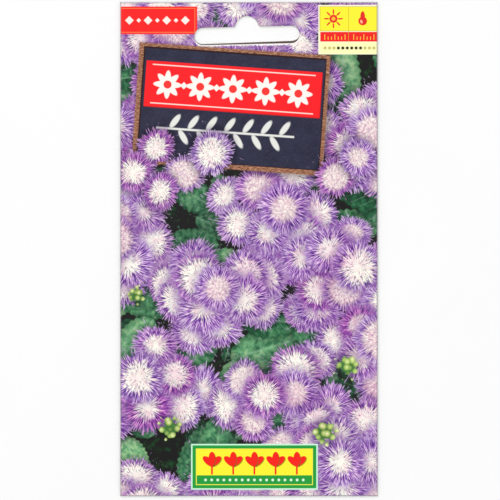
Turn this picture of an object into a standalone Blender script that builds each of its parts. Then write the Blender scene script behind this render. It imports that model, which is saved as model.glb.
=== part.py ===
"""A printed paper seed packet, lying on its back, with its loose seeds inside."""

import math
import random

import bmesh
import bpy
from mathutils import Euler, Matrix, Vector

# Driving sizes in metres. Width is X, length is Y, thickness is Z.
WIDTH = 0.080
LENGTH = 0.1536
PAPER = 0.00016
FOLD_TOP = 0.00072
CROWN = 0.0021
CROWN_SHAPE = 2.2
CROWN_FILL = 1.12
FOOT_REACH = 0.016
HEADER_REACH = 0.024
FOLD_ROUND = 0.00018
TURNED_ROUND = (0.0, 0.15, 0.5, 1.0)

# The back, built up from overlapping panels
LAP_EDGE = -0.0070
LAP_WIDTH = 0.0120
HEADER_FLAP = 0.0170
BOTTOM_FLAP = 0.0150
FLAP_TAPER = 0.0040
FLAP_INSET = 0.0004
GLUED_TO = 2.5 * PAPER

# The pouch between the two panels
POUCH_TOP = 0.0580
POUCH_SIDE = 0.0005
POUCH_FOOT = 0.0006
POUCH_FLOOR = 3 * PAPER
CORNER_VENT = 0.0020
VENT_HEIGHT = 0.00012

# The hanging slot
SLOT_X = -0.0006
SLOT_Y = 0.0665
SLOT_WIDTH = 0.0328
SLOT_BAR = 0.0054
DOME_RADIUS = 0.00365
DOME_LIFT = 0.0024
SLOT_FILLET = 0.0008
SLOT_TILT = math.radians(1.3)
ARC_STEPS = 12
SLOT_REACH = 0.0042

# The seeds
SEED_COUNT = 110
SEED_LENGTH = 0.0021
SEED_RADIUS = 0.00026
SEED_TAPER = 0.45
SEED_SIDES = 5
SEED_TILT = 0.08
SEED_GAP = 0.00012
SEED_RISE = (0.2, 0.9)
HEAP_AT = (0.004, -0.040)
HEAP_SIZE = (0.0100, 0.0075, 0.00042)
HEAP_GAP = 0.0003
HEAP_LOBES = 5
HEAP_WOBBLE = 0.12
HEAP_COVER = 0.93
HEAP_DRAW = 11
GOLDEN_TURN = math.pi * (3 - math.sqrt(5))

# The grid of lines that the front panel and the pouch are built on
COLUMNS = 20
ROWS = 36


def clear_scene():
    for thing in list(bpy.data.objects):
        bpy.data.objects.remove(thing, do_unlink=True)


def new_collection(name, hidden=False):
    made = bpy.data.collections.new(name)
    made.hide_render = hidden
    bpy.context.scene.collection.children.link(made)
    return made


def new_material(name, color, roughness):
    made = bpy.data.materials.new(name)
    made.use_nodes = True
    shader = made.node_tree.nodes["Principled BSDF"]
    shader.inputs["Base Color"].default_value = (*color, 1.0)
    shader.inputs["Roughness"].default_value = roughness
    return made


def object_from(bm, name, collection, material=None):
    bmesh.ops.recalc_face_normals(bm, faces=bm.faces[:])
    mesh = bpy.data.meshes.new(name)
    bm.to_mesh(mesh)
    bm.free()
    made = bpy.data.objects.new(name, mesh)
    collection.objects.link(made)
    if material:
        mesh.materials.append(material)
    if collection.hide_render:
        made.display_type = "WIRE"
    return made


def boolean(target, other, operation):
    step = target.modifiers.new(other.name, "BOOLEAN")
    step.operation = operation
    step.solver = "EXACT"
    step.object = other


def smooth_rise(distance, reach):
    return 1.0 - math.exp(-max(distance, 0.0) / reach)


def crown_at(x, y):
    """How far the seeds and air lift the front panel above its folded edge."""
    across = 1.0 - abs(2.0 * x / WIDTH) ** CROWN_SHAPE
    from_foot = smooth_rise(y + LENGTH / 2, FOOT_REACH)
    from_header = smooth_rise(POUCH_TOP - y, HEADER_REACH)
    return CROWN * CROWN_FILL * max(across, 0.0) * from_foot * from_header


def edge_drop(x, y):
    """The share of the fold's rounding left at a point close to an outer edge."""
    inward = min(WIDTH / 2 - abs(x), LENGTH / 2 - abs(y))
    reach = min(max(inward / FOLD_ROUND, 0.0), 1.0)
    return 1.0 - math.sqrt(1.0 - (1.0 - reach) ** 2)


def front_height(x, y):
    return FOLD_TOP - FOLD_ROUND * edge_drop(x, y) + crown_at(x, y)


def back_height(x, y):
    return 2 * PAPER + FOLD_ROUND * edge_drop(x, y)


def spaced(count, half, turned):
    """Grid lines from -half to half, with close ones at both ends for a rounded fold."""
    close = [FOLD_ROUND * share for share in turned]
    inner = half - close[-1]
    middle = [-inner + 2 * inner * step / count for step in range(1, count)]
    low = [-half + gap for gap in close]
    high = [half - gap for gap in reversed(close)]
    return low + middle + high


def block(name, xs, ys, top, bottom, collection, material=None):
    """A closed solid between two height functions over a grid of lines."""
    bm = bmesh.new()
    bmesh.ops.create_grid(bm, x_segments=len(xs) - 1, y_segments=len(ys) - 1, size=0.5)
    for vert in bm.verts:
        column = round((vert.co.x + 0.5) * (len(xs) - 1))
        row = round((vert.co.y + 0.5) * (len(ys) - 1))
        vert.co.x = xs[column]
        vert.co.y = ys[row]
    raised = bmesh.ops.extrude_face_region(bm, geom=bm.faces[:], use_keep_orig=True)
    upper = {part for part in raised["geom"] if isinstance(part, bmesh.types.BMVert)}
    for vert in bm.verts:
        level = top if vert in upper else bottom
        vert.co.z = level(vert.co.x, vert.co.y)
    return object_from(bm, name, collection, material)


def slab(name, corners, low, high, collection):
    """A flat plate with the given outline, between two heights."""
    bm = bmesh.new()
    outline = [bm.verts.new((x, y, low)) for x, y in corners]
    face = bm.faces.new(outline)
    raised = bmesh.ops.extrude_face_region(bm, geom=[face], use_keep_orig=True)
    moved = [part for part in raised["geom"] if isinstance(part, bmesh.types.BMVert)]
    bmesh.ops.translate(bm, verts=moved, vec=(0, 0, high - low))
    return object_from(bm, name, collection)


def rectangle(left, bottom, right, top):
    return [(left, bottom), (right, bottom), (right, top), (left, top)]


def arc(center, radius, start, end):
    for step in range(ARC_STEPS + 1):
        angle = start + (end - start) * step / ARC_STEPS
        yield (
            center[0] + radius * math.cos(angle),
            center[1] + radius * math.sin(angle),
        )


def slot_outline():
    """The hanging slot: a round-ended bar with a dome on top, tilted a little."""
    bar = SLOT_BAR / 2
    end = SLOT_WIDTH / 2 - bar
    rise = bar + SLOT_FILLET - DOME_LIFT
    reach = math.sqrt((DOME_RADIUS + SLOT_FILLET) ** 2 - rise**2)
    touch = math.atan2(rise, reach)
    down = -math.pi / 2
    points = list(arc((end, 0), bar, down, -down))
    points += arc((reach, bar + SLOT_FILLET), SLOT_FILLET, down, touch - math.pi)
    points += arc((0, DOME_LIFT), DOME_RADIUS, touch, math.pi - touch)
    points += arc((-reach, bar + SLOT_FILLET), SLOT_FILLET, -touch, down)
    points += arc((-end, 0), bar, -down, -3 * down)
    turn = Matrix.Rotation(SLOT_TILT, 2)
    return [turn @ Vector(point) + Vector((SLOT_X, SLOT_Y)) for point in points]


def make_flaps(cutters):
    """The back panels that lie over the inner one, each a sheet lower than the last."""
    side = WIDTH / 2 - FLAP_INSET
    end = LENGTH / 2 - FLAP_INSET
    panel = rectangle(LAP_EDGE, -end, side, end)
    header = rectangle(-side, LENGTH / 2 - HEADER_FLAP, side, end)
    foot_top = -LENGTH / 2 + BOTTOM_FLAP
    foot = [
        (-side, -end),
        (side, -end),
        (side - FLAP_TAPER, foot_top),
        (FLAP_TAPER - side, foot_top),
    ]
    return [
        slab("right_panel", panel, PAPER, GLUED_TO, cutters),
        slab("header_flap", header, 0.0, GLUED_TO, cutters),
        slab("bottom_flap", foot, 0.0, GLUED_TO, cutters),
    ]


def make_pouch(cutters):
    """The room for the seeds, open to the outside only at the two bottom corners."""
    half = WIDTH / 2 - POUCH_SIDE
    foot = -LENGTH / 2 + POUCH_FOOT
    xs = [-half + 2 * half * step / COLUMNS for step in range(COLUMNS + 1)]
    ys = [foot + (POUCH_TOP - foot) * step / ROWS for step in range(ROWS + 1)]

    def ceiling(x, y):
        return front_height(x, y) - PAPER

    def floor(x, y):
        return POUCH_FLOOR

    room = block("pouch_room", xs, ys, ceiling, floor, cutters)
    inner_lap = rectangle(LAP_EDGE + LAP_WIDTH, foot, half, POUCH_TOP)
    step_down = slab("lap_step", inner_lap, 2 * PAPER, POUCH_FLOOR + PAPER / 2, cutters)
    return [room, step_down]


def make_vents(cutters):
    """The unglued corners of the bottom flap, where the pouch meets the outside."""
    foot = -LENGTH / 2 + POUCH_FOOT
    made = []
    for name, side in (("left_vent", -1), ("right_vent", 1)):
        inner = side * (WIDTH / 2 - CORNER_VENT)
        outer = side * (WIDTH / 2 + CORNER_VENT)
        left, right = sorted((inner, outer))
        corners = rectangle(left, foot, right, foot + CORNER_VENT)
        made.append(slab(name, corners, POUCH_FLOOR, POUCH_FLOOR + VENT_HEIGHT, cutters))
    return made


def make_sheet(shown, cutters, material):
    """The folded paper: front panel, back panels and flaps as one glued body."""
    xs = spaced(COLUMNS, WIDTH / 2, TURNED_ROUND)
    ys = spaced(ROWS, LENGTH / 2, TURNED_ROUND)
    sheet = block(
        "packet_sheet", xs, ys, front_height, back_height, shown, material
    )
    for flap in make_flaps(cutters):
        boolean(sheet, flap, "UNION")
    for hollow in make_pouch(cutters) + make_vents(cutters):
        boolean(sheet, hollow, "DIFFERENCE")
    slot = slab("hang_slot", slot_outline(), -SLOT_REACH / 2, SLOT_REACH, cutters)
    boolean(sheet, slot, "DIFFERENCE")
    return sheet


def seed_shape(bm, place):
    """One slim, faceted seed, wider at one end."""
    bmesh.ops.create_cone(
        bm,
        cap_ends=True,
        segments=SEED_SIDES,
        radius1=SEED_RADIUS * SEED_TAPER,
        radius2=SEED_RADIUS,
        depth=SEED_LENGTH,
        matrix=place,
    )


def make_mound(shown, material):
    """The low, lobed body of the heap, which the seeds lie in."""
    wide, deep, high = HEAP_SIZE
    bm = bmesh.new()
    bmesh.ops.create_icosphere(bm, subdivisions=3, radius=1.0)
    for vert in bm.verts:
        lobes = math.sin(HEAP_LOBES * math.atan2(vert.co.y, vert.co.x))
        spread = 1.0 + HEAP_WOBBLE * lobes
        vert.co.x = HEAP_AT[0] + vert.co.x * wide * spread
        vert.co.y = HEAP_AT[1] + vert.co.y * deep * spread
        vert.co.z = POUCH_FLOOR + HEAP_GAP + high * (1.0 + vert.co.z)
    return object_from(bm, "seed_heap", shown, material)


def seed_places():
    """A spot for each seed on the mound, spiralling out from its middle."""
    draw = random.Random(HEAP_DRAW)
    wide, deep, high = HEAP_SIZE
    lowest = POUCH_FLOOR + HEAP_GAP + SEED_RADIUS + SEED_GAP
    for number in range(SEED_COUNT):
        out = math.sqrt((number + 0.5) / SEED_COUNT) * HEAP_COVER
        turn = number * GOLDEN_TURN
        x = HEAP_AT[0] + wide * out * math.cos(turn)
        y = HEAP_AT[1] + deep * out * math.sin(turn)
        mound = high * math.sqrt(1.0 - out**2)
        z = POUCH_FLOOR + HEAP_GAP + high + mound * draw.uniform(*SEED_RISE)
        lean = math.pi / 2 + draw.uniform(-SEED_TILT, SEED_TILT)
        facing = Euler((lean, 0, draw.uniform(0, 2 * math.pi)))
        yield Matrix.Translation((x, y, max(z, lowest))) @ facing.to_matrix().to_4x4()


def make_seeds(shown, cutters, material):
    """The heap: a low mound with seeds lying in and out of it, fused as one body."""
    heap = make_mound(shown, material)
    grains = bmesh.new()
    for place in seed_places():
        seed_shape(grains, place)
    loose = object_from(grains, "seed_grains", cutters)
    boolean(heap, loose, "UNION")
    heap.modifiers[-1].use_self = True
    return heap


def main():
    clear_scene()
    shown = new_collection("seed_packet")
    cutters = new_collection("cutters", hidden=True)
    paper = new_material("printed_paper", (0.62, 0.60, 0.68), 0.42)
    husk = new_material("seed_husk", (0.030, 0.022, 0.017), 0.60)
    make_sheet(shown, cutters, paper)
    make_seeds(shown, cutters, husk)


main()
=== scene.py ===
import math
import random

import bmesh
import bpy
from mathutils import Matrix, Vector
from mathutils.bvhtree import BVHTree


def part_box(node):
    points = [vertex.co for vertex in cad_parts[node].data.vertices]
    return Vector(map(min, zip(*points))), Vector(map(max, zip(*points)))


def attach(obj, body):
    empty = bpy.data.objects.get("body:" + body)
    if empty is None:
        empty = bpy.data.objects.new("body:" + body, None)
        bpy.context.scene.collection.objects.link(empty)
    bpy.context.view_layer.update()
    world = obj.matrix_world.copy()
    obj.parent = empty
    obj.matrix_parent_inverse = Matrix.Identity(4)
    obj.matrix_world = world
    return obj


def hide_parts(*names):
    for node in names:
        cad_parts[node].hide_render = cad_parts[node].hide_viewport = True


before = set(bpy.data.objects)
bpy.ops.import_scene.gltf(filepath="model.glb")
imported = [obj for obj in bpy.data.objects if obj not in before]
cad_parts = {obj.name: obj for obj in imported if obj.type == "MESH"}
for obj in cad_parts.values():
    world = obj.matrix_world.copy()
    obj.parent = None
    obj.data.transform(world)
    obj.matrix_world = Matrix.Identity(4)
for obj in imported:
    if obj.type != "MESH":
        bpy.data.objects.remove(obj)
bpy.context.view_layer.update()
scene = bpy.context.scene
print("packed model loaded")

# The packet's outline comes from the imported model. Meshes are in metres. Places and sizes on
# the print are in millimetres from the packet's middle, with y up to the header.
sheetLow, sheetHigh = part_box("packet_sheet")
halfWidth = round(sheetHigh[0], 5)
halfLength = round(sheetHigh[1], 5)
perMetre = 1000.0
paper = 0.00016  # thickness of one ply
fullTurn = 2 * math.pi


# A print colour from its 0 to 255 screen values
def ink(red, green, blue):
    def linear(value):
        share = value / 255
        return share / 12.92 if share < 0.04 else ((share + 0.055) / 1.055) ** 2.4
    return linear(red), linear(green), linear(blue)


# Adds nodes to one tree. A value may be a number, a tuple or another node's output.
class Net:
    def __init__(self, tree):
        self.tree = tree

    def add(self, kind, **settings):
        node = self.tree.nodes.new(kind)
        for name, value in settings.items():
            setattr(node, name, value)
        return node

    def feed(self, socket, value):
        if isinstance(value, bpy.types.NodeSocket):
            self.tree.links.new(value, socket)
        elif socket.type == "RGBA":
            socket.default_value = (*value, 1.0)
        else:
            socket.default_value = value

    # Feeds a node's first inputs, one after another
    def fill(self, node, *values):
        for socket, value in zip(node.inputs, values):
            self.feed(socket, value)
        return node

    def math(self, operation, *values):
        return self.fill(self.add("ShaderNodeMath", operation=operation), *values).outputs[0]

    def times(self, first, second):
        return self.math("MULTIPLY", first, second)

    def plus(self, first, second):
        return self.math("ADD", first, second)

    def minus(self, first, second):
        return self.math("SUBTRACT", first, second)

    def vector(self, operation, *values):
        node = self.fill(self.add("ShaderNodeVectorMath", operation=operation), *values)
        return node.outputs["Value" if operation == "LENGTH" else "Vector"]

    def split(self, value):
        return list(self.fill(self.add("ShaderNodeSeparateXYZ"), value).outputs)

    def join(self, x, y, z=0.0):
        return self.fill(self.add("ShaderNodeCombineXYZ"), x, y, z).outputs[0]

    # The place seen from a frame that is turned by so many degrees
    def turned(self, at, degrees):
        node = self.add("ShaderNodeVectorRotate", rotation_type="Z_AXIS")
        self.feed(node.inputs["Vector"], at)
        self.feed(node.inputs["Angle"], self.times(degrees, -math.pi / 180))
        return node.outputs[0]

    def remap(self, value, low, high, first=0.0, last=1.0, soft=False):
        node = self.add("ShaderNodeMapRange")
        node.interpolation_type = "SMOOTHSTEP" if soft else "LINEAR"
        return self.fill(node, value, low, high, first, last).outputs[0]

    def mix(self, share, first, second, kind="MIX"):
        node = self.add("ShaderNodeMix", data_type="RGBA", blend_type=kind)
        self.feed(node.inputs[0], share)
        self.feed(node.inputs[6], first)
        self.feed(node.inputs[7], second)
        return node.outputs[2]

    # The colour, lighter or darker by a number
    def lit(self, color, level):
        return self.mix(1.0, color, self.join(level, level, level), "MULTIPLY")

    def noise(self, at, scale, detail=2.0, rough=0.5):
        node = self.add("ShaderNodeTexNoise")
        for name, value in (("Vector", at), ("Scale", scale), ("Detail", detail), ("Roughness", rough)):
            self.feed(node.inputs[name], value)
        return node.outputs[0]

    def cells(self, at, scale):
        node = self.add("ShaderNodeTexVoronoi")
        self.feed(node.inputs["Vector"], at)
        self.feed(node.inputs["Scale"], scale)
        return node.outputs["Distance"]

    def ramp(self, value, stops):
        node = self.add("ShaderNodeValToRGB")
        band = node.color_ramp
        while len(band.elements) < len(stops):
            band.elements.new(0.5)
        for element, (place, color) in zip(band.elements, stops):
            element.position = place
            element.color = (*color, 1.0)
        return self.fill(node, value).outputs[0]

    # Noise that is fixed to the piece itself
    def grain(self, scale, detail=2.0, rough=0.5):
        return self.noise(self.add("ShaderNodeTexCoord").outputs["Object"], scale, detail, rough)

    def attribute(self, name):
        node = self.add("ShaderNodeAttribute", attribute_name=name)
        return node.outputs["Vector"]

    # The same place, worked out only once the earlier colour is done. It keeps the shader's
    # stack short, because the layers are then made one after another.
    def after(self, value, earlier):
        return self.vector("MULTIPLY_ADD", earlier, (1e-7, 1e-7, 1e-7), value)

    def use(self, group, *values):
        return list(self.fill(self.add("ShaderNodeGroup", node_tree=group), *values).outputs)


def newMaterial(name):
    made = bpy.data.materials.new(name)
    made.use_nodes = True
    return made, Net(made.node_tree), made.node_tree.nodes["Principled BSDF"]


def setInputs(node, values):
    for name, value in values.items():
        node.inputs[name].default_value = value


socketKinds = {"number": "NodeSocketFloat", "place": "NodeSocketVector", "color": "NodeSocketColor"}


def newGroup(name, takes, gives):
    group = bpy.data.node_groups.new(name, "ShaderNodeTree")
    for label, kind in takes.items():
        group.interface.new_socket(label, in_out="INPUT", socket_type=socketKinds[kind])
    for label, kind in gives.items():
        group.interface.new_socket(label, in_out="OUTPUT", socket_type=socketKinds[kind])
    net = Net(group)
    source = net.add("NodeGroupInput").outputs
    return group, net, list(source)[: len(takes)]


def closeGroup(net, *values):
    net.fill(net.add("NodeGroupOutput"), *values)


# A kind of item on the print: from an own point to its colour, its mask and the shade round it
def newItemGroup(name):
    gives = {"Color": "color", "Mask": "number", "Shade": "number"}
    group, net, (at,) = newGroup(name, {"At": "place"}, gives)
    return group, net, net.split(at)


# A flat colour area on the sheet: 1 inside a turned box or oval and 0 outside, softly edged
def makeAreaGroup(name, isOval):
    takes = {"At": "place", "Middle": "place", "Half": "place", "Turn": "number", "Soft": "number"}
    group, net, (at, middle, half, turn, soft) = newGroup(name, takes, {"Mask": "number"})
    own = net.turned(net.vector("SUBTRACT", at, middle), turn)
    if isOval:
        reach = net.vector("LENGTH", net.vector("DIVIDE", own, half))
        low, high = net.minus(1.0, soft), net.plus(1.0, soft)
    else:
        x, y, _ = net.split(net.vector("SUBTRACT", net.vector("ABSOLUTE", own), half))
        reach = net.math("MAXIMUM", x, y)
        low, high = net.times(soft, -1.0), soft
    closeGroup(net, net.remap(reach, low, high, 1.0, 0.0))
    return group


boxGroup = makeAreaGroup("box on the sheet", False)
ovalGroup = makeAreaGroup("oval on the sheet", True)


# Lays colour areas one over another. Middles and halves are pairs of millimetres. After
# turnTo, places are counted from a new middle and turn with it.
class Areas:
    def __init__(self, net, at, color):
        self.net, self.at, self.color = net, at, color
        self.turnTo()

    def turnTo(self, middle=(0.0, 0.0), degrees=0.0):
        self.middle, self.degrees = Vector(middle), degrees

    def lay(self, group, middle, half, color, turn, soft, share, at=None):
        place = Matrix.Rotation(math.radians(self.degrees), 2) @ Vector(middle) + self.middle
        spot = self.net.after(at or self.at, self.color)
        depth = 1.0e6  # the area goes right through the sheet
        (mask,) = self.net.use(group, spot, (*place, 0.0), (*half, depth), self.degrees + turn, soft)
        if share < 1.0:
            mask = self.net.times(mask, share)
        self.color = self.net.mix(mask, self.color, color)

    def box(self, middle, half, color, turn=0.0, soft=0.06, share=1.0, at=None):
        self.lay(boxGroup, middle, half, color, turn, soft, share, at)

    # Several boxes from the lowest to the top one: middle, half, ink and soft edge of each
    def boxes(self, rows):
        for middle, half, fill, soft in rows:
            self.box(middle, half, fill, soft=soft)

    def oval(self, middle, half, color, turn=0.0, soft=0.06, share=1.0):
        self.lay(ovalGroup, middle, half, color, turn, soft, share)


# One fluffy flower head of the print. Its own point is 1 away from the middle where the
# longest threads end, and the third coordinate is the head's seed.
flowerHead = {
    "tufts": (10.5, 2.2, 37.0),  # fineness round the head, change on the way out, seed's shift
    "threads": (21.0, 4.2, 91.0),
    "dashes": (11.0, 9.0, 53.0),
    "tuftShare": 0.45,
    "ends": (0.60, 1.0),  # the shortest threads end at the first reach, and the longest at the last
    "threadInks": (
        (0.00, ink(62, 34, 108)), (0.30, ink(116, 66, 156)),
        (0.56, ink(174, 120, 200)), (1.00, ink(250, 226, 248)),
    ),
    "warmInk": ink(240, 166, 222),  # multiplied over some of the heads
    "warmShare": 0.85,
    "outerInk": ink(124, 86, 174),
    "outerShare": 0.28,
    "tipInk": ink(214, 194, 236),
    "tipShare": 0.5,
    "core": (0.31, 0.58),  # reach of the pale middle, from the smallest to the largest
    "coreEdge": (0.10, 0.15),  # it fades from so far inside that reach to so far outside it
    "coreRagged": (-0.42, -0.20),  # how far the threads break its edge, open and young
    "coreInks": (ink(255, 255, 241), ink(252, 228, 226)),
    "youngShare": 0.22,  # heads that are still closed: a round dome of beads
    "youngGrowth": 0.06,
    "beads": 11.0,
    "domeInk": ink(250, 230, 224),
    "dotInk": ink(190, 138, 172),
    "domeShare": 0.5,
    "speckInk": ink(120, 78, 130),
    "speckShare": 0.75,
    "rimLevel": 0.76,  # how dark the outermost threads are
    "light": (0.12, 1.04),  # brighter towards the header, and all over
    "shadeReach": (1.12, 0.72),
    "shadeShare": 0.8,
    "shadeInk": ink(96, 74, 122),  # multiplied over leaves just outside a head
    "matInk": ink(128, 76, 158),  # mixed over other heads just outside a head
    "matShare": 0.8,
}


def makeHeadGroup():
    look = flowerHead
    group, net, (u, v, seed) = newItemGroup("flower head")
    flat = net.join(u, v)
    reach = net.vector("LENGTH", flat)
    wayX, wayY, _ = net.split(net.vector("NORMALIZE", flat))

    def ownDraw(times, low, high, first, last):
        return net.remap(net.math("FRACT", net.times(seed, times)), low, high, first, last)

    def strands(name, low=0.36, high=0.64):
        fineness, change, shift = look[name]
        depth = net.plus(net.times(reach, change), net.times(seed, shift))
        place = net.join(net.times(wayX, fineness), net.times(wayY, fineness), depth)
        return net.remap(net.noise(place, 1.0, 2.0, 0.55), low, high)

    tufts, threads, dashes = strands("tufts"), strands("threads"), strands("dashes", 0.0, 1.0)

    # the ragged outline
    ends = net.remap(reach, *look["ends"], -0.15, 0.95)
    coarse, fine = look["tuftShare"], 1.0 - look["tuftShare"]
    spread = net.plus(net.times(tufts, coarse), net.times(threads, fine))
    mask = net.remap(net.minus(spread, ends), -0.05, 0.10)

    # the threads, which turn from mauve to violet on their way out
    petals = net.ramp(threads, look["threadInks"])
    petals = net.mix(ownDraw(7.31, 0.40, 1.0, 0.0, look["warmShare"]), petals, look["warmInk"], "MULTIPLY")
    petals = net.mix(net.remap(reach, 0.50, 0.95, 0.0, look["outerShare"]), petals, look["outerInk"])
    tips = net.times(net.remap(reach, 0.60, 0.95, 0.0, look["tipShare"]), tufts)
    petals = net.mix(tips, petals, look["tipInk"])

    # the pale middle, which reaches out between the threads
    young = ownDraw(5.13, 1.0 - look["youngShare"], 1.02 - look["youngShare"], 0.0, 1.0)
    growth = net.times(young, look["youngGrowth"])
    core = net.plus(ownDraw(3.77, 0.0, 1.0, *look["core"]), growth)
    ragged = net.remap(young, 0.0, 1.0, *look["coreRagged"])
    wander = net.times(ragged, net.minus(spread, 0.5))
    inner, outer = look["coreEdge"]
    inner, outer = net.minus(core, inner), net.plus(core, outer)
    pale = net.remap(net.plus(reach, wander), inner, outer, 1.0, 0.0, soft=True)
    blush = net.remap(net.noise(net.join(u, v, seed), 5.0), 0.4, 0.7)
    middle = net.mix(blush, *look["coreInks"])
    clear = net.remap(reach, 0.04, 0.16, 0.0, look["speckShare"])  # none at the very middle
    specks = net.times(net.remap(dashes, 0.53, 0.60), clear)
    middle = net.mix(specks, middle, look["speckInk"])
    beads = net.cells(net.join(u, v, seed), look["beads"])
    dome = net.mix(net.remap(beads, 0.36, 0.60), look["domeInk"], look["dotInk"])
    middle = net.mix(net.times(young, look["domeShare"]), middle, dome)

    color = net.mix(pale, petals, middle)
    color = net.lit(color, net.remap(reach, 0.45, 1.0, 1.0, look["rimLevel"]))
    color = net.lit(color, net.math("MULTIPLY_ADD", v, *look["light"]))
    closeGroup(net, color, mask, net.remap(reach, *look["shadeReach"], 0.0, look["shadeShare"]))
    return group


# One oval leaf of the print, with a toothed edge and paler veins. Its own point runs from -1
# at the stalk to 1 at the tip.
leafPrint = {
    "inks": (
        (0.22, ink(28, 66, 48)), (0.46, ink(58, 118, 80)),
        (0.68, ink(104, 166, 116)), (0.92, ink(166, 208, 150)),
    ),
    "veinInk": ink(176, 222, 180),
    "veinMix": 0.34,
    "width": 0.52,  # half width at the middle, as a share of half the length
    "taper": -0.14,
    "bluntness": 0.62,
    "teeth": 34.0,
    "toothDepth": 0.022,
    "veins": 4.2,
    "veinSlant": 0.8,
    "lineShare": 0.75,
    "edgeLevel": 0.62,
    "shadeShare": 0.6,
}


def makeLeafGroup():
    look = leafPrint
    group, net, (u, v, seed) = newItemGroup("leaf")
    side = net.math("ABSOLUTE", v)
    full = net.math("MAXIMUM", net.minus(1.0, net.times(u, u)), 0.0)
    blade = net.math("MULTIPLY_ADD", u, look["taper"], look["width"])
    width = net.times(net.math("POWER", full, look["bluntness"]), blade)
    teeth = net.math("SINE", net.times(u, look["teeth"]))
    teeth = net.times(teeth, look["toothDepth"])
    inward = net.minus(net.plus(width, teeth), side)
    mask = net.remap(inward, -0.015, 0.025)

    along = net.minus(u, net.times(side, look["veinSlant"]))
    stripe = net.math("FRACT", net.times(along, look["veins"]))
    vein = net.remap(net.math("ABSOLUTE", net.minus(stripe, 0.5)), 0.0, 0.09, 0.7, 0.0)
    vein = net.times(vein, net.remap(inward, 0.02, 0.20))
    rib = net.remap(side, 0.012, 0.05, 1.0, 0.0)
    lines = net.times(net.math("MAXIMUM", rib, vein), look["lineShare"])

    puff = net.noise(net.join(u, v, net.times(seed, 20.0)), 6.0, 3.0)
    base = net.ramp(net.plus(puff, net.math("MULTIPLY_ADD", seed, 0.5, -0.22)), look["inks"])
    color = net.mix(lines, base, net.mix(look["veinMix"], base, look["veinInk"]))
    color = net.lit(color, net.remap(inward, 0.0, 0.22, look["edgeLevel"], 1.0))
    closeGroup(net, color, mask, net.remap(inward, -0.25, 0.05, 0.0, look["shadeShare"]))
    return group


# A tight bunch of round green buds, pale where the light falls
budPrint = {
    "inks": ((0.05, ink(244, 246, 196)), (0.30, ink(190, 216, 120)), (0.62, ink(74, 124, 60))),
    "buds": 2.3,  # the higher, the smaller each bud
    "shadeShare": 0.5,
}


def makeBudGroup():
    look = budPrint
    group, net, (u, v, seed) = newItemGroup("buds")
    near = net.cells(net.join(u, v, net.times(seed, 9.0)), look["buds"])
    reach = net.vector("LENGTH", net.join(u, v))
    edge = net.plus(reach, net.times(near, 0.9))
    mask = net.remap(edge, 1.05, 1.2, 1.0, 0.0)
    shade = net.remap(reach, 1.2, 0.7, 0.0, look["shadeShare"])
    closeGroup(net, net.ramp(near, look["inks"]), mask, shade)
    return group


# Where the heads, leaves and buds of the print lie, by seeded rules. An item is its place,
# size, squash, turn and seed, and a later item lies over an earlier one.
flowerBed = {
    "draw": 2214,
    "tries": 400,
    "field": (46, 84),  # clusters may start a little outside the sheet
    "clusterGap": 26.5,  # least distance between two clusters' middles
    "clusterHigh": 0.86,  # a cluster's height as a share of its width
    "headsInCluster": (9, 13),
    "clusterReach": (16.0, 20.0),
    "headSize": (8.3, 10.4),
    "outerShrink": 0.10,
    "outerLean": 0.30,  # the outer heads of a cluster lean away and look narrower
    "stray": 0.25,
    "rowHigh": 12,  # clusters lower on the sheet lie in front, row by row
    "nearDraw": 31,
    "nearSize": (7.4, 9.2),
    "nearBoard": (  # heads that grow in front of the board's lower edge
        (-29.0, 31.5), (-20.0, 23.5), (-36.0, 24.0), (-11.5, 30.0),
        (-27.5, 18.0), (27.0, 22.5), (34.0, 28.5),
    ),
}
goldenTurn = math.pi * (3 - math.sqrt(5))


def layClusters(draw):
    wide, high = flowerBed["field"]
    kept = []
    for _ in range(flowerBed["tries"]):
        x, y = draw.uniform(-wide, wide), draw.uniform(-high, high)
        if all(math.hypot(x - a, (y - b) * 1.12) > flowerBed["clusterGap"] for a, b in kept):
            kept.append((x, y))
    return kept


def layHeads():
    look, stray = flowerBed, flowerBed["stray"]
    draw = random.Random(look["draw"])
    heads = []
    for middleX, middleY in layClusters(draw):
        count = draw.randint(*look["headsInCluster"])
        spread = draw.uniform(*look["clusterReach"])
        turn = draw.uniform(0, fullTurn)
        for number in range(count):
            out = math.sqrt((number + 0.35) / count)
            angle = turn + number * goldenTurn + draw.uniform(-stray, stray)
            x = middleX + spread * out * math.cos(angle)
            y = middleY + spread * look["clusterHigh"] * out * math.sin(angle)
            size = draw.uniform(*look["headSize"]) * (1.0 - look["outerShrink"] * out)
            squash = 1.0 - look["outerLean"] * out**3
            depth = out - (y - middleY) * 0.02 + draw.uniform(-0.15, 0.15)
            order = (-round(middleY / look["rowHigh"]), -depth)
            heads.append((order, (x, y, size, squash, angle, draw.random())))
    heads.sort(key=lambda head: head[0])
    return [item for _, item in heads]


def layNearHeads():
    draw = random.Random(flowerBed["nearDraw"])
    heads = []
    for x, y in flowerBed["nearBoard"]:
        size, squash = draw.uniform(*flowerBed["nearSize"]), draw.uniform(0.85, 1.0)
        heads.append((x, y, size, squash, draw.uniform(0, fullTurn), draw.random()))
    return heads


leafBed = {
    "draw": 77,
    "rows": 14,
    "columns": 8,
    "first": (-44, -82),
    "step": 12.5,
    "stray": 5.0,
    "size": (7.5, 12.5),
}


def layLeaves():
    look, stray = leafBed, leafBed["stray"]
    firstX, firstY = look["first"]
    draw = random.Random(look["draw"])
    leaves = []
    for row in range(look["rows"]):
        for column in range(look["columns"]):
            x = firstX + column * look["step"] + draw.uniform(-stray, stray)
            y = firstY + row * look["step"] + draw.uniform(-stray, stray)
            size = draw.uniform(*look["size"])
            leaves.append((x, y, size, 1.0, draw.uniform(0, fullTurn), draw.random()))
    draw.shuffle(leaves)
    return leaves


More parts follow.
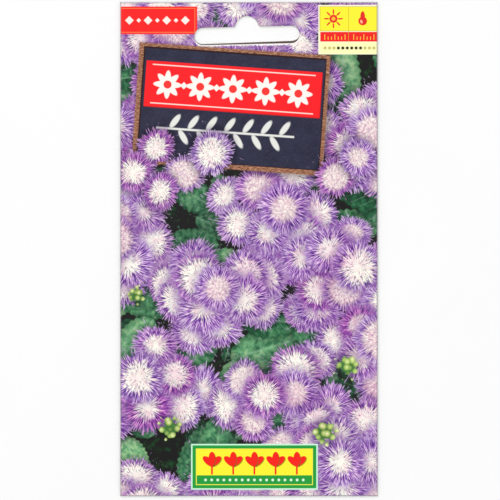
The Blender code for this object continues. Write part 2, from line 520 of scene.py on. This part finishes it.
budBed = {
    "draw": 5,
    "spots": ((-24.5, -55.5), (23.5, -57.0), (30.5, -36.5), (-35.0, -14.5)),
    "size": (3.4, 5.0),
}


def layBuds():
    draw = random.Random(budBed["draw"])
    return [(x, y, draw.uniform(*budBed["size"]), 1.0, 0.0, draw.random()) for x, y in budBed["spots"]]


# Layers of the print: how many items may lie over each other, and how far an item goes along
# and across its own axis. The picture is drawn from the first row to the last.
printLayers = {
    "leaf": {"items": layLeaves, "layers": 4, "along": 1.02, "across": 0.62},
    "head": {"items": layHeads, "layers": 6, "along": 1.12, "across": 1.12},
    "bud": {"items": layBuds, "layers": 1, "along": 1.2, "across": 1.2},
    "near": {"items": layNearHeads, "layers": 3, "along": 1.12, "across": 1.12},
}
nowhere = (9.0, 9.0, 0.0)  # an own point well outside every item


# The turn and scale from the sheet to the item's own point
def ownFrame(item):
    x, y, size, squash, angle, seed = item
    cos, sin = math.cos(angle), math.sin(angle)
    return x, y, cos / (size * squash), sin / (size * squash), -sin / size, cos / size, seed, size


# Keeps, on each face, the own points of the items over it. The last item lies on top.
def writeLayer(mesh, name):
    look = printLayers[name]
    layers, along, across = look["layers"], look["along"], look["across"]
    frames = [ownFrame(item) for item in look["items"]()]
    stores = [list(nowhere) * len(mesh.loops) for _ in range(layers)]
    for face in mesh.polygons:
        corners = [mesh.vertices[i].co * perMetre for i in face.vertices]
        middle = sum(corners, Vector()) / len(corners)
        far = max((corner - middle).length for corner in corners)
        over = []
        for own in frames:
            x, y, a, b, c, d, _, size = own
            u = (middle.x - x) * a + (middle.y - y) * b
            v = (middle.x - x) * c + (middle.y - y) * d
            slack = far / size
            if math.hypot(u, v) < along + 1.5 * slack and abs(v) < across + slack:
                over.append(own)
        for depth, (x, y, a, b, c, d, seed, _) in enumerate(reversed(over[-layers:])):
            store = stores[layers - 1 - depth]
            for loop, corner in zip(face.loop_indices, corners):
                dx, dy = corner.x - x, corner.y - y
                store[3 * loop : 3 * loop + 3] = (dx * a + dy * b, dx * c + dy * d, seed)
    for number, store in enumerate(stores):
        kept = mesh.attributes.new(f"{name}{number}", "FLOAT_VECTOR", "CORNER")
        kept.data.foreach_set("vector", store)
    print(f"{len(frames)} {name} items laid on the print")


# The place of each corner on the flat sheet, in millimetres
def writeSheet(mesh):
    kept = mesh.attributes.new("sheet", "FLOAT_VECTOR", "CORNER")
    values = []
    for loop in mesh.loops:
        values.extend(mesh.vertices[loop.vertex_index].co * perMetre)
    kept.data.foreach_set("vector", values)


# Places in an even row, counted from its middle
def evenRow(count, step):
    return [(number - (count - 1) / 2) * step for number in range(count)]


# A slate board in a wooden frame, with a red band of blooms and a chalk sprig under it
board = {
    "middle": (-5.4, 43.8),
    "turn": -4.0,
    "half": (28.5, 17.5),
    "frameWide": 1.3,
    "woodInks": ((0.32, ink(84, 46, 38)), (0.48, ink(146, 96, 72)), (0.66, ink(208, 162, 130))),
    "slateInks": (ink(34, 34, 50), ink(62, 62, 84)),
    "dustInk": ink(120, 120, 140),
    "shadowAt": (0.5, -0.9),
    "shadowWide": 1.9,
    "shadowInk": ink(20, 16, 30),
    "innerInk": ink(52, 30, 34),
    "innerWide": 0.4,
    "bandHalf": (27.4, 7.1),
    "bandRise": 6.0,
    "bandInk": ink(252, 40, 44),
    "bandShadeInk": ink(188, 22, 30),
    "ruleHalf": (25.4, 0.18),
    "ruleGap": 6.0,
    "ruleInk": ink(255, 224, 214),
    "blooms": 5,
    "bloomStep": 10.2,
    "bloomInk": ink(255, 246, 240),
    "bloomMiddle": (1.25, 1.25),
    "bloomMiddleInk": ink(250, 60, 56),
    "petal": (4.4, 1.15),
    "diamond": (0.8, 0.8),
    "stalk": (21.5, 0.32),
    "sprigLeaves": 14,
    "sprigStep": 2.85,
    "sprigY": -7.6,
    "sprigLeaf": (0.9, 2.5),
    "sprigLean": 34,
    "chalkInk": ink(238, 238, 232),
}


def drawBoard(areas, net, at):
    look = board
    wide, tall = look["half"]
    rim, shadow, inner = look["frameWide"], look["shadowWide"], look["innerWide"]
    areas.turnTo(look["middle"], look["turn"])
    areas.box(look["shadowAt"], (wide + shadow, tall + shadow), look["shadowInk"], soft=0.9, share=0.55)

    rough = net.noise(at, 2.2, 3.0, 0.7)
    uneven = net.vector("ADD", at, net.vector("MULTIPLY", net.join(rough, rough), (0.9, 0.9, 0.0)))
    grain = net.noise(net.vector("MULTIPLY", at, (0.5, 2.4, 1.0)), 1.6, 4.0, 0.65)
    wood = net.ramp(grain, look["woodInks"])
    areas.box((0.25, 0.25), (wide + rim, tall + rim), wood, soft=0.10, at=uneven)

    areas.box((0, 0), (wide, tall), look["innerInk"], soft=0.12)
    slate = net.mix(net.noise(at, 0.22, 4.0, 0.6), *look["slateInks"])
    streaks = net.noise(net.vector("MULTIPLY", at, (3.0, 0.5, 1.0)), 2.0, 3.0)
    slate = net.mix(net.remap(streaks, 0.5, 0.8, 0.0, 0.22), slate, look["dustInk"])
    areas.box((0.1, -0.15), (wide - inner, tall - inner), slate, soft=0.10)

    rise = look["bandRise"]
    areas.box((0.2, rise - 0.2), look["bandHalf"], look["bandShadeInk"], soft=0.10)
    areas.box((0, rise), look["bandHalf"], look["bandInk"], soft=0.08)
    for side in (-1, 1):
        areas.box((0, rise + side * look["ruleGap"]), look["ruleHalf"], look["ruleInk"])
    for number, x in enumerate(evenRow(look["blooms"], look["bloomStep"])):
        for way in (0, 45, 90, 135):
            areas.oval((x, rise), look["petal"], look["bloomInk"], way, 0.05)
        areas.oval((x, rise), look["bloomMiddle"], look["bloomMiddleInk"])
        if number > 0:
            areas.box((x - look["bloomStep"] / 2, rise), look["diamond"], look["bloomInk"], 45)

    low = look["sprigY"]
    areas.box((-1.5, low), look["stalk"], look["chalkInk"], soft=0.12, share=0.95)
    for number in range(look["sprigLeaves"]):
        up = 1 if number % 2 else -1
        place = (-20.1 + number * look["sprigStep"], low + up * 2.4)
        areas.oval(place, look["sprigLeaf"], look["chalkInk"], -up * look["sprigLean"], 0.16, 0.95)


# A red tag that runs off the left edge, with an orange line round it and a row of diamonds
tag = {
    "middle": (-29.2, 71.2),
    "fields": (
        ((0, 0), (13.1, 4.3), ink(255, 44, 44), 0.07),
        ((0, 0), (12.5, 3.85), ink(255, 126, 76), 0.06),
        ((-0.2, 0), (12.45, 3.6), ink(255, 44, 44), 0.06),
    ),
    "diamonds": 7,
    "firstDiamond": -8.0,
    "diamondStep": 2.9,
    "diamondSizes": (0.95, 0.5),
    "diamondInk": ink(255, 240, 232),
}


def drawTag(areas):
    look = tag
    areas.turnTo(look["middle"])
    areas.boxes(look["fields"])
    for number in range(look["diamonds"]):
        size = look["diamondSizes"][number % 2]
        place = (look["firstDiamond"] + number * look["diamondStep"], 0)
        areas.box(place, (size, size), look["diamondInk"], 45)


# The growing panel: a sun and a drop on yellow, with plain ticks and dots under them
growingPanel = {
    "fields": (
        ((31.2, 68.3), (9.6, 7.7), ink(255, 250, 214), 0.06),
        ((31.4, 71.7), (9.4, 3.85), ink(196, 178, 50), 0.05),
        ((31.5, 71.7), (9.3, 3.70), ink(255, 244, 62), 0.05),
        ((31.4, 66.1), (9.2, 1.5), ink(244, 46, 44), 0.05),
        ((31.4, 62.6), (9.2, 1.75), ink(255, 253, 190), 0.05),
        ((31.0, 69.9), (0.07, 5.4), ink(206, 170, 50), 0.04),
    ),
    "redInk": ink(232, 50, 44),
    "sun": (26.3, 71.7),
    "sunSize": (1.25, 1.25),
    "rays": 8,
    "ray": (0.85, 0.24),
    "rayReach": 2.15,
    "sunGlow": (0.62, 0.62),
    "sunGlowInk": ink(255, 190, 60),
    "drop": (35.4, 71.0),
    "dropSize": (1.35, 1.35),
    "dropTip": (0.72, 1.75),
    "dropGlow": (0.35, 0.6),
    "dropGlowInk": ink(255, 190, 150),
    "ticks": 7,
    "tickStarts": (23.6, 32.6),
    "tickFoot": 65.15,
    "tickStep": 1.05,
    "tickInk": ink(255, 222, 80),
    "dots": 12,
    "darkDots": range(3, 9),
    "firstDot": (23.7, 62.6),
    "dotStep": 1.38,
    "dotSize": (0.48, 0.48),
    "dotInks": (ink(206, 196, 120), ink(60, 56, 40)),
}


def drawGrowingPanel(areas):
    look = growingPanel
    areas.turnTo()
    areas.boxes(look["fields"])
    sunX, sunY = look["sun"]
    for number in range(look["rays"]):
        way = 360 * number / look["rays"]
        x = sunX + look["rayReach"] * math.cos(math.radians(way))
        y = sunY + look["rayReach"] * math.sin(math.radians(way))
        areas.oval((x, y), look["ray"], look["redInk"], way, 0.10)
    areas.oval(look["sun"], look["sunSize"], look["redInk"])
    areas.oval(look["sun"], look["sunGlow"], look["sunGlowInk"], soft=0.1)

    dropX, dropY = look["drop"]
    areas.oval(look["drop"], look["dropSize"], look["redInk"])
    areas.oval((dropX, dropY + 1.3), look["dropTip"], look["redInk"], soft=0.07)
    areas.oval((dropX - 0.4, dropY - 0.2), look["dropGlow"], look["dropGlowInk"], 20, 0.15)

    for number in range(look["ticks"]):
        tall = 0.85 if number % 3 == 0 else 0.5
        for start in look["tickStarts"]:
            place = (start + number * look["tickStep"], look["tickFoot"] + tall)
            areas.box(place, (0.10, tall), look["tickInk"], soft=0.05)
    dotX, dotY = look["firstDot"]
    for number in range(look["dots"]):
        fill = look["dotInks"][1 if number in look["darkDots"] else 0]
        areas.oval((dotX + number * look["dotStep"], dotY), look["dotSize"], fill, soft=0.10)


# The plate at the foot: a green frame round a yellow field, with a row of red tulips
footPlate = {
    "middle": (1.7, -67.7),
    "fields": (
        ((0, 0), (19.7, 7.15), ink(206, 250, 222), 0.07),
        ((0, 0), (19.25, 6.7), ink(44, 160, 66), 0.06),
        ((0, 0), (18.2, 5.7), ink(255, 246, 90), 0.05),
        ((0, 0), (17.95, 5.45), ink(44, 160, 66), 0.05),
        ((0, 1.4), (17.95, 4.05), ink(255, 246, 58), 0.05),
    ),
    "tulips": 5,
    "tulipStep": 6.6,
    "tulipInk": ink(250, 44, 36),
    "tulipShadeInk": ink(120, 96, 20),
    "petal": (1.05, 2.15),
    "petalLean": 50,
    "stem": (0.28, 1.5),
    "dots": 17,
    "dotStep": 1.9,
    "dotSize": (0.42, 0.42),
    "dotInk": ink(226, 252, 226),
}


def drawFootPlate(areas):
    look = footPlate
    areas.turnTo(look["middle"])
    areas.boxes(look["fields"])
    for x in evenRow(look["tulips"], look["tulipStep"]):
        for way in (-look["petalLean"], look["petalLean"], 0):
            petalX = x - math.sin(math.radians(way)) * 1.45
            petalY = 1.75 if way else 2.55
            shade = (petalX + 0.22, petalY - 0.22)
            areas.oval(shade, look["petal"], look["tulipShadeInk"], way, 0.06, 0.8)
            areas.oval((petalX, petalY), look["petal"], look["tulipInk"], way, 0.05)
        areas.box((x, -0.9), look["stem"], look["tulipInk"], soft=0.05)
    for x in evenRow(look["dots"], look["dotStep"]):
        areas.oval((x, -4.1), look["dotSize"], look["dotInk"], soft=0.10)


# The hanging slot, in metres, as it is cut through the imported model
hangSlot = {
    "middle": (-0.0006, 0.0665),
    "tilt": 1.3,
    "width": 0.0328,
    "bar": 0.0054,
    "domeRadius": 0.00365,
    "domeLift": 0.0024,
    "fillet": 0.0008,
    "grown": 0.00002,  # the front's slot, a hair wider than the model's
    "ledge": 0.0007,  # the back panels show by so much in the slot's lower side
    "ledgeSlant": (0.75, 0.7),  # and by more at the right
    "cutter": (-0.003, 0.009),  # its lowest level and its height
    "tornRim": (0.16, 0.55),  # torn white coating below the slot: its width, and what may be added
    "rimGrowth": (-15.0, 7.0, 0.3),  # the rim widens from the left to the right, from so small a share
    # painted shade on the slot's ledge: its width, and what may be added
    "ledgeShade": (0.90, 0.0),
    "tornInk": ink(255, 252, 250),
}


# 1 on a ragged rim just outside the slot's lower side, which is widest at the right
def slotRim(net, at, least, most):
    middle = [value * perMetre for value in hangSlot["middle"]]
    bar = hangSlot["bar"] / 2 * perMetre
    straight = hangSlot["width"] / 2 * perMetre - bar
    x, y, _ = net.split(net.turned(net.vector("SUBTRACT", at, (*middle, 0.0)), hangSlot["tilt"]))
    beyond = net.math("MAXIMUM", net.minus(net.math("ABSOLUTE", x), straight), 0.0)
    away = net.minus(net.vector("LENGTH", net.join(beyond, y)), bar)
    ragged = net.remap(net.noise(at, 1.4, 3.0, 0.7), 0.36, 0.62, 0.1, 1.0)
    right = net.remap(x, *hangSlot["rimGrowth"], most)
    below = net.remap(y, 0.2, -2.0)
    wide = net.math("MULTIPLY_ADD", ragged, right, least)
    inside = net.minus(net.times(wide, below), away)
    return net.times(net.remap(inside, -0.05, 0.05), below)


# Coated paper: a light gloss, fine tooth and slow waves
coatedPaper = {
    "roughness": (0.36, 0.46),
    "gloss": {"IOR": 1.46, "Specular IOR Level": 0.28, "Coat Weight": 0.04, "Coat Roughness": 0.30},
    "tooth": 0.004,
    "waves": 0.35,
    "bump": {"Strength": 0.5, "Distance": 0.001},
}


def finishPaper(net, shader, at):
    look = coatedPaper
    fine = net.noise(at, 6.0, 4.0, 0.6)
    slow = net.noise(at, 0.09, 3.0, 0.5)
    net.feed(shader.inputs["Roughness"], net.remap(fine, 0.3, 0.7, *look["roughness"]))
    setInputs(shader, look["gloss"])
    tooth = net.times(fine, look["tooth"])
    bump = net.add("ShaderNodeBump")
    setInputs(bump, look["bump"])
    net.feed(bump.inputs["Height"], net.math("MULTIPLY_ADD", slow, look["waves"], tooth))
    net.feed(shader.inputs["Normal"], bump.outputs[0])


# The place on the sheet, with the height left out
def sheetPlace(net):
    x, y, _ = net.split(net.attribute("sheet"))
    return net.join(x, y)


frontPrint = {
    "soilInks": ((0.30, ink(10, 16, 18)), (0.52, ink(18, 42, 30)), (0.80, ink(48, 92, 56))),
    "driftInk": ink(228, 164, 220),  # slow patches of warmer violet
    "driftRange": (0.46, 0.68),
    "drift": 0.42,
    "edgeShadeInk": ink(132, 122, 132),  # painted shade: a thin dark line round the folds, in place of the edge's shadow
    "edgeShadeReach": (0.12, 0.42),
    "edgeShade": 0.62,
    "veil": (0.017, 0.017, 0.016),  # the gloss adds this much, so the inks start darker
}


def makeFrontPrint():
    look = frontPrint
    made, net, shader = newMaterial("front print")
    at = sheetPlace(net)
    head, leaf, bud = makeHeadGroup(), makeLeafGroup(), makeBudGroup()
    color = net.ramp(net.noise(at, 0.35, 4.0, 0.6), look["soilInks"])

    # Lays every layer of one kind of item. Where heads already lie, the shade is a violet mat.
    def layOver(group, name, color, matted=False):
        covered = 0.0
        for number in range(printLayers[name]["layers"]):
            own = net.after(net.attribute(f"{name}{number}"), color)
            shown, mask, shade = net.use(group, own)
            bare = net.times(shade, net.minus(1.0, covered))
            color = net.mix(bare, color, flowerHead["shadeInk"], "MULTIPLY")
            if matted:
                dense = net.times(net.times(shade, covered), flowerHead["matShare"])
                color = net.mix(dense, color, flowerHead["matInk"])
                covered = net.math("MAXIMUM", covered, mask)
            color = net.mix(mask, color, shown)
        return color

    color = layOver(leaf, "leaf", color)
    color = layOver(head, "head", color, matted=True)
    color = layOver(bud, "bud", color)
    drift = net.remap(net.noise(at, 0.055, 2.0), *look["driftRange"], 0.0, look["drift"])
    areas = Areas(net, at, net.mix(drift, color, look["driftInk"], "MULTIPLY"))
    drawBoard(areas, net, at)
    areas.color = layOver(head, "near", areas.color)
    drawTag(areas)
    drawGrowingPanel(areas)
    drawFootPlate(areas)

    # Painted shade: the print darkens in a thin line along the folds, where the edge's shadow would fall
    x, y, _ = net.split(net.vector("ABSOLUTE", at))
    inX = net.minus(halfWidth * perMetre, x)
    inY = net.minus(halfLength * perMetre, y)
    edgeShade = net.remap(net.math("MINIMUM", inX, inY), *look["edgeShadeReach"], look["edgeShade"], 0.0)
    color = net.mix(edgeShade, areas.color, look["edgeShadeInk"])
    color = net.mix(slotRim(net, at, *hangSlot["tornRim"]), color, hangSlot["tornInk"])
    color = net.vector("MAXIMUM", net.vector("SUBTRACT", color, look["veil"]), (0.0, 0.0, 0.0))
    net.feed(shader.inputs["Base Color"], color)
    finishPaper(net, shader, at)
    return made


# The white, slightly fuzzy fibre of a cut edge
cutEdge = {
    "inks": (ink(250, 249, 246), ink(214, 208, 200)),
    "fibres": 9000.0,
    "gloss": {"Roughness": 0.85},
}


def makeCutEdge():
    look = cutEdge
    made, net, shader = newMaterial("cut paper edge")
    fibre = net.grain(look["fibres"], 3.0, 0.7)
    net.feed(shader.inputs["Base Color"], net.mix(fibre, *look["inks"]))
    setInputs(shader, look["gloss"])
    return made


# The bare inner side, with painted shade on the ledge that shows in the slot
bareInside = {
    "inks": (ink(206, 198, 192), ink(170, 160, 152)),
    "ledgeShadeInk": ink(92, 74, 68),
    "fibres": 3000.0,
    "gloss": {"Roughness": 0.8},
}


def makeBareInside():
    look = bareInside
    made, net, shader = newMaterial("bare paper inside")
    fibre = net.grain(look["fibres"], 4.0, 0.7)
    # Painted shade: the ledge darkens where the front ply would shadow it
    ledge = slotRim(net, sheetPlace(net), *hangSlot["ledgeShade"])
    color = net.mix(ledge, net.mix(fibre, *look["inks"]), look["ledgeShadeInk"])
    net.feed(shader.inputs["Base Color"], color)
    setInputs(shader, look["gloss"])
    return made


# The back: pale lilac stock in a violet border, with bands, plain rules, squares and rings, and painted
# shade along the seams
backPrint = {
    "stockInks": (ink(244, 240, 250), ink(232, 224, 244)),
    "border": (38.0, 74.6),
    "insideBorder": (37.2, 73.8),
    "borderInk": ink(150, 112, 190),
    "bands": (
        ((0, 68.3), (37.2, 5.5), ink(44, 160, 66), 0.06),
        ((0, -68.4), (37.2, 5.4), ink(186, 156, 216), 0.06),
    ),
    "rules": 13,
    "firstRule": 50,
    "ruleStep": 4.2,
    "ruleHalf": (30.0, 0.28),
    "ruleInk": ink(120, 112, 136),
    "squares": 12,
    "squareY": -16.0,
    "squareStep": 5.0,
    "square": (2.1, 2.6),
    "squareInks": (ink(96, 176, 104), ink(206, 186, 226)),
    "rings": 6,
    "ringY": -36.0,
    "ringStep": 10,
    "ring": (3.3, 3.3),
    "ringMiddle": (1.5, 1.5),
    "ringInk": ink(158, 118, 198),
    "ringMiddleInk": ink(250, 240, 232),
    "seams": (  # painted shade beside the lap and the two flaps, where one ply lies on the next
        ((-7.45, -1.0), (0.45, 60.6)), ((0, 59.3), (39.4, 0.45)), ((0, -61.3), (35.6, 0.45)),
    ),
    "seamShadeInk": ink(128, 118, 150),
    "seamShadeShare": 0.55,
}


def makeBackPrint():
    look = backPrint
    made, net, shader = newMaterial("back print")
    at = sheetPlace(net)
    stock = net.mix(net.noise(at, 0.12, 3.0), *look["stockInks"])
    areas = Areas(net, at, stock)
    areas.box((0, 0), look["border"], look["borderInk"])
    areas.box((0, 0), look["insideBorder"], stock)
    areas.boxes(look["bands"])
    wide, tall = look["ruleHalf"]
    for number in range(look["rules"]):
        short = number * 37 % 9  # the rules end unevenly, as lines of text do
        place = (-1.5 - short, look["firstRule"] - number * look["ruleStep"])
        areas.box(place, (wide - short, tall), look["ruleInk"])
    for number, x in enumerate(evenRow(look["squares"], look["squareStep"])):
        fill = look["squareInks"][1 if number % 4 else 0]
        areas.box((x, look["squareY"]), look["square"], fill)
    for x in evenRow(look["rings"], look["ringStep"]):
        areas.oval((x, look["ringY"]), look["ring"], look["ringInk"], soft=0.03)
        areas.oval((x, look["ringY"]), look["ringMiddle"], look["ringMiddleInk"], soft=0.08)
    # Painted shade: soft grey lines along the lap and flap edges
    for middle, half in look["seams"]:
        areas.box(middle, half, look["seamShadeInk"], soft=0.42, share=look["seamShadeShare"])
    net.feed(shader.inputs["Base Color"], areas.color)
    finishPaper(net, shader, at)
    return made


# Dark seed coats with pale ribs
seedHusk = {
    "inks": ((0.30, ink(26, 20, 18)), (0.55, ink(52, 40, 34)), (0.78, ink(112, 94, 78))),
    "grain": 5200.0,
    "roughness": (0.5, 0.7),
}


def makeSeedHusk():
    look = seedHusk
    made, net, shader = newMaterial("seed husk")
    grain = net.grain(look["grain"], 3.0, 0.6)
    net.feed(shader.inputs["Base Color"], net.ramp(grain, look["inks"]))
    net.feed(shader.inputs["Roughness"], net.remap(grain, 0.3, 0.7, *look["roughness"]))
    return made


def putInScene(name, data):
    made = bpy.data.objects.new(name, data)
    scene.collection.objects.link(made)
    return made


def newObject(name, bm, materials):
    mesh = bpy.data.meshes.new(name)
    bm.to_mesh(mesh)
    bm.free()
    for material in materials:
        mesh.materials.append(material)
    return putInScene(name, mesh)


# Puts the piece's modifiers into its mesh
def applyAll(piece):
    graph = bpy.context.evaluated_depsgraph_get()
    ready = piece.evaluated_get(graph)
    mesh = bpy.data.meshes.new_from_object(ready, preserve_all_data_layers=True, depsgraph=graph)
    piece.modifiers.clear()
    piece.data = mesh


# The slot's outline, widened by grow, with its lower side moved down by lowered
def slotOutline(grow, lowered):
    look = hangSlot
    bar, width, dome = look["bar"] / 2 + grow, look["width"] + 2 * grow, look["domeRadius"] + grow
    fillet = look["fillet"]
    end = width / 2 - bar
    rise = bar + fillet - look["domeLift"]
    reach = math.sqrt((dome + fillet) ** 2 - rise**2)
    touch = math.atan2(rise, reach)
    quarter = math.pi / 2

    def arc(x, y, radius, start, stop, steps=20):
        for step in range(steps + 1):
            angle = start + (stop - start) * step / steps
            yield x + radius * math.cos(angle), y + radius * math.sin(angle)

    points = list(arc(end, 0, bar, -quarter, quarter))
    points += arc(reach, bar + fillet, fillet, -quarter, touch - math.pi)
    points += arc(0, look["domeLift"], dome, touch, math.pi - touch)
    points += arc(-reach, bar + fillet, fillet, -touch, -quarter)
    points += arc(-end, 0, bar, quarter, 3 * quarter)
    tilt = Matrix.Rotation(math.radians(look["tilt"]), 2)
    level, slant = look["ledgeSlant"]
    placed = []
    for x, y in points:
        drop = lowered * max(0.0, -y / bar) * (level + slant * x / width)
        placed.append(tilt @ Vector((x, y - drop)) + Vector(look["middle"]))
    return placed


def cutSlot(piece, grow, lowered, edge):
    low, tall = hangSlot["cutter"]
    bm = bmesh.new()
    face = bm.faces.new([bm.verts.new((x, y, low)) for x, y in slotOutline(grow, lowered)])
    raised = bmesh.ops.extrude_face_region(bm, geom=[face], use_keep_orig=True)
    moved = [part for part in raised["geom"] if isinstance(part, bmesh.types.BMVert)]
    bmesh.ops.translate(bm, verts=moved, vec=(0, 0, tall))
    bmesh.ops.recalc_face_normals(bm, faces=bm.faces[:])
    cutter = newObject("slot cutter", bm, [edge])
    step = piece.modifiers.new("slot", "BOOLEAN")
    step.operation = "DIFFERENCE"
    step.solver = "EXACT"
    step.object = cutter
    step.material_mode = "TRANSFER"
    applyAll(piece)
    bpy.data.objects.remove(cutter, do_unlink=True)


# The front panel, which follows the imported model's top and turns down round the folds
frontPanel = {
    "grid": 0.0016,
    "fold": (  # from the edge inwards: how far in each line lies, and how far down
        (0.00005, 0.00038), (0.0, 0.00022), (0.00003, 0.00010), (0.00009, 0.00003), (0.00020, 0.0),
    ),
    "flatHeight": 0.00072,  # the header's height, taken where the slot is
    "readInset": 0.0004,
    "sag": 0.00006,  # shallow waves in the paper, flat again within so far of the edge
    "sagReach": 0.006,
    "sagWaves": (210, 150, 90),
}


def topReader():
    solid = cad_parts["packet_sheet"].data
    corners = [vert.co[:] for vert in solid.vertices]
    tree = BVHTree.FromPolygons(corners, [face.vertices[:] for face in solid.polygons])
    flat = frontPanel["flatHeight"]

    def topAt(x, y):
        hit = tree.ray_cast(Vector((x, y, 0.02)), Vector((0, 0, -1)))[0]
        return hit.z if hit and hit.z > flat - paper else flat

    return topAt


def gridLines(half, step, insets):
    inner = half - insets[-1]
    count = round(2 * inner / step)
    middle = [-inner + 2 * inner * number / count for number in range(1, count)]
    return [-half + inset for inset in insets] + middle + [half - inset for inset in reversed(insets)]


def buildFront(materials):
    look = frontPanel
    insets = [inset for inset, _ in look["fold"]]
    drops = [drop for _, drop in look["fold"]]
    xs = gridLines(halfWidth, look["grid"], insets)
    ys = gridLines(halfLength, look["grid"], insets)
    topAt = topReader()
    across, along, slant = look["sagWaves"]

    def foldDrop(index, count):
        fromEdge = min(index, count - 1 - index)
        return drops[fromEdge] if fromEdge < len(drops) else 0.0

    bm = bmesh.new()
    bmesh.ops.create_grid(bm, x_segments=len(xs) - 1, y_segments=len(ys) - 1, size=0.5)
    for vert in bm.verts:
        column = round((vert.co.x + 0.5) * (len(xs) - 1))
        row = round((vert.co.y + 0.5) * (len(ys) - 1))
        x, y = xs[column], ys[row]
        drop = max(foldDrop(column, len(xs)), foldDrop(row, len(ys)))
        readX = max(look["readInset"] - halfWidth, min(halfWidth - look["readInset"], x))
        readY = max(look["readInset"] - halfLength, min(halfLength - look["readInset"], y))
        inward = min(halfWidth - abs(x), halfLength - abs(y))
        wave = math.sin(x * across + 1.3) * math.sin(y * along + x * slant)
        sag = look["sag"] * abs(wave) * min(1.0, inward / look["sagReach"])
        vert.co = (x, y, topAt(readX, readY) - drop - sag)
    made = newObject("front_panel", bm, materials)
    skin = made.modifiers.new("paper", "SOLIDIFY")
    skin.thickness = paper
    skin.offset = -1
    skin.material_offset = 2
    skin.material_offset_rim = 1
    applyAll(made)
    cutSlot(made, hangSlot["grown"], 0.0, materials[1])
    made.data.shade_smooth()
    writeSheet(made.data)
    for name in printLayers:
        writeLayer(made.data, name)
    return made


# The two back panels with their lap, the header flap and the bottom flap. Each is one ply,
# and a hair of air between the plies keeps their faces apart.
backPanels = {
    "inset": 0.0003,
    "lap": (-0.007, 0.005),
    "headerFlap": 0.017,
    "bottomFlap": 0.015,
    "flapTaper": 0.004,
    "air": 0.00001,
}


def buildBack(materials):
    look = backPanels
    side, end = halfWidth - look["inset"], halfLength - look["inset"]
    lapLeft, lapRight = look["lap"]
    headerLow, bottomHigh = halfLength - look["headerFlap"], look["bottomFlap"] - halfLength
    bm = bmesh.new()

    def ply(left, low, right, high, level, taper=0.0):
        made = bmesh.ops.create_cube(bm, size=1.0)
        for vert in made["verts"]:
            inset = taper if vert.co.y > 0 else 0.0
            x = right - inset if vert.co.x > 0 else left + inset
            z = (level + 1) * paper - look["air"] if vert.co.z > 0 else level * paper
            vert.co = (x, high if vert.co.y > 0 else low, z)

    ply(-side, -end, lapRight, end, 2)
    ply(lapLeft, -end, side, end, 1)
    ply(-side, headerLow, side, end, 0)
    ply(-side, -end, side, bottomHigh, 0, look["flapTaper"])
    bmesh.ops.recalc_face_normals(bm, faces=bm.faces[:])
    for face in bm.faces:
        if abs(face.normal.z) < 0.5:
            face.material_index = 1
        elif face.normal.z > 0:
            face.material_index = 2
    made = newObject("back_panels", bm, materials)
    cutSlot(made, 0.0, -hangSlot["ledge"], materials[1])
    writeSheet(made.data)
    return made


edge, inside = makeCutEdge(), makeBareInside()
frontMaterials = [makeFrontPrint(), edge, inside]
backMaterials = [makeBackPrint(), edge, inside]
print("paper, prints and cut edges made")

front = buildFront(frontMaterials)
print("front panel made")
back = buildBack(backMaterials)
print("back panels made")
for piece in (front, back):
    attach(piece, "root")
    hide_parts("packet_sheet")

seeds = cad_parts["seed_heap"]
seeds.data.materials.clear()
seeds.data.materials.append(makeSeedHusk())
print("seeds finished")


# The set: a plain white table, a big soft light and a weaker one across from it
table = {
    "half": 3.0,
    "drop": 0.00002,  # a hair under the packet
    "inks": ((0.93, 0.93, 0.93), (0.95, 0.95, 0.95)),
    "clouds": 30.0,
    "gloss": {"Roughness": 0.9, "Specular IOR Level": 0.1},
}


def makeTable():
    look = table
    bm = bmesh.new()
    bmesh.ops.create_grid(bm, x_segments=1, y_segments=1, size=look["half"])
    made, net, shader = newMaterial("white table")
    net.feed(shader.inputs["Base Color"], net.mix(net.grain(look["clouds"]), *look["inks"]))
    setInputs(shader, look["gloss"])
    floor = newObject("table", bm, [made])
    floor.location.z = -look["drop"]
    return floor


lighting = {
    "big soft light": {"place": (-0.75, 0.95, 1.5), "size": 1.2, "power": 13.0},
    "fill light": {"place": (0.95, -0.6, 1.4), "size": 1.2, "power": 4.0},
}
room = {"Color": (1.0, 1.0, 1.0, 1.0), "Strength": 0.72}


def makeLight(name):
    look = lighting[name]
    data = bpy.data.lights.new(name, "AREA")
    data.size = look["size"]
    data.energy = look["power"]
    lamp = putInScene(name, data)
    lamp.location = look["place"]
    lamp.rotation_euler = Vector(look["place"]).to_track_quat("Z", "Y").to_euler()
    return lamp


makeTable()
[makeLight(name) for name in lighting]
world = bpy.data.worlds.new("soft room")
world.use_nodes = True
setInputs(world.node_tree.nodes["Background"], room)
scene.world = world
scene.view_settings.view_transform = "Standard"

# The camera looks straight down, and its frame is a little longer than the packet
view = {"place": (0.00033, -0.00027, 1.2), "frameSide": 0.1557, "sensor": 36.0, "nearest": 0.05}
cameraData = bpy.data.cameras.new("camera")
cameraData.sensor_width = view["sensor"]
cameraData.lens = view["sensor"] * view["place"][2] / view["frameSide"]
cameraData.clip_start = view["nearest"]
camera = putInScene("camera", cameraData)
camera.location = view["place"]
scene.camera = camera
print("set made")
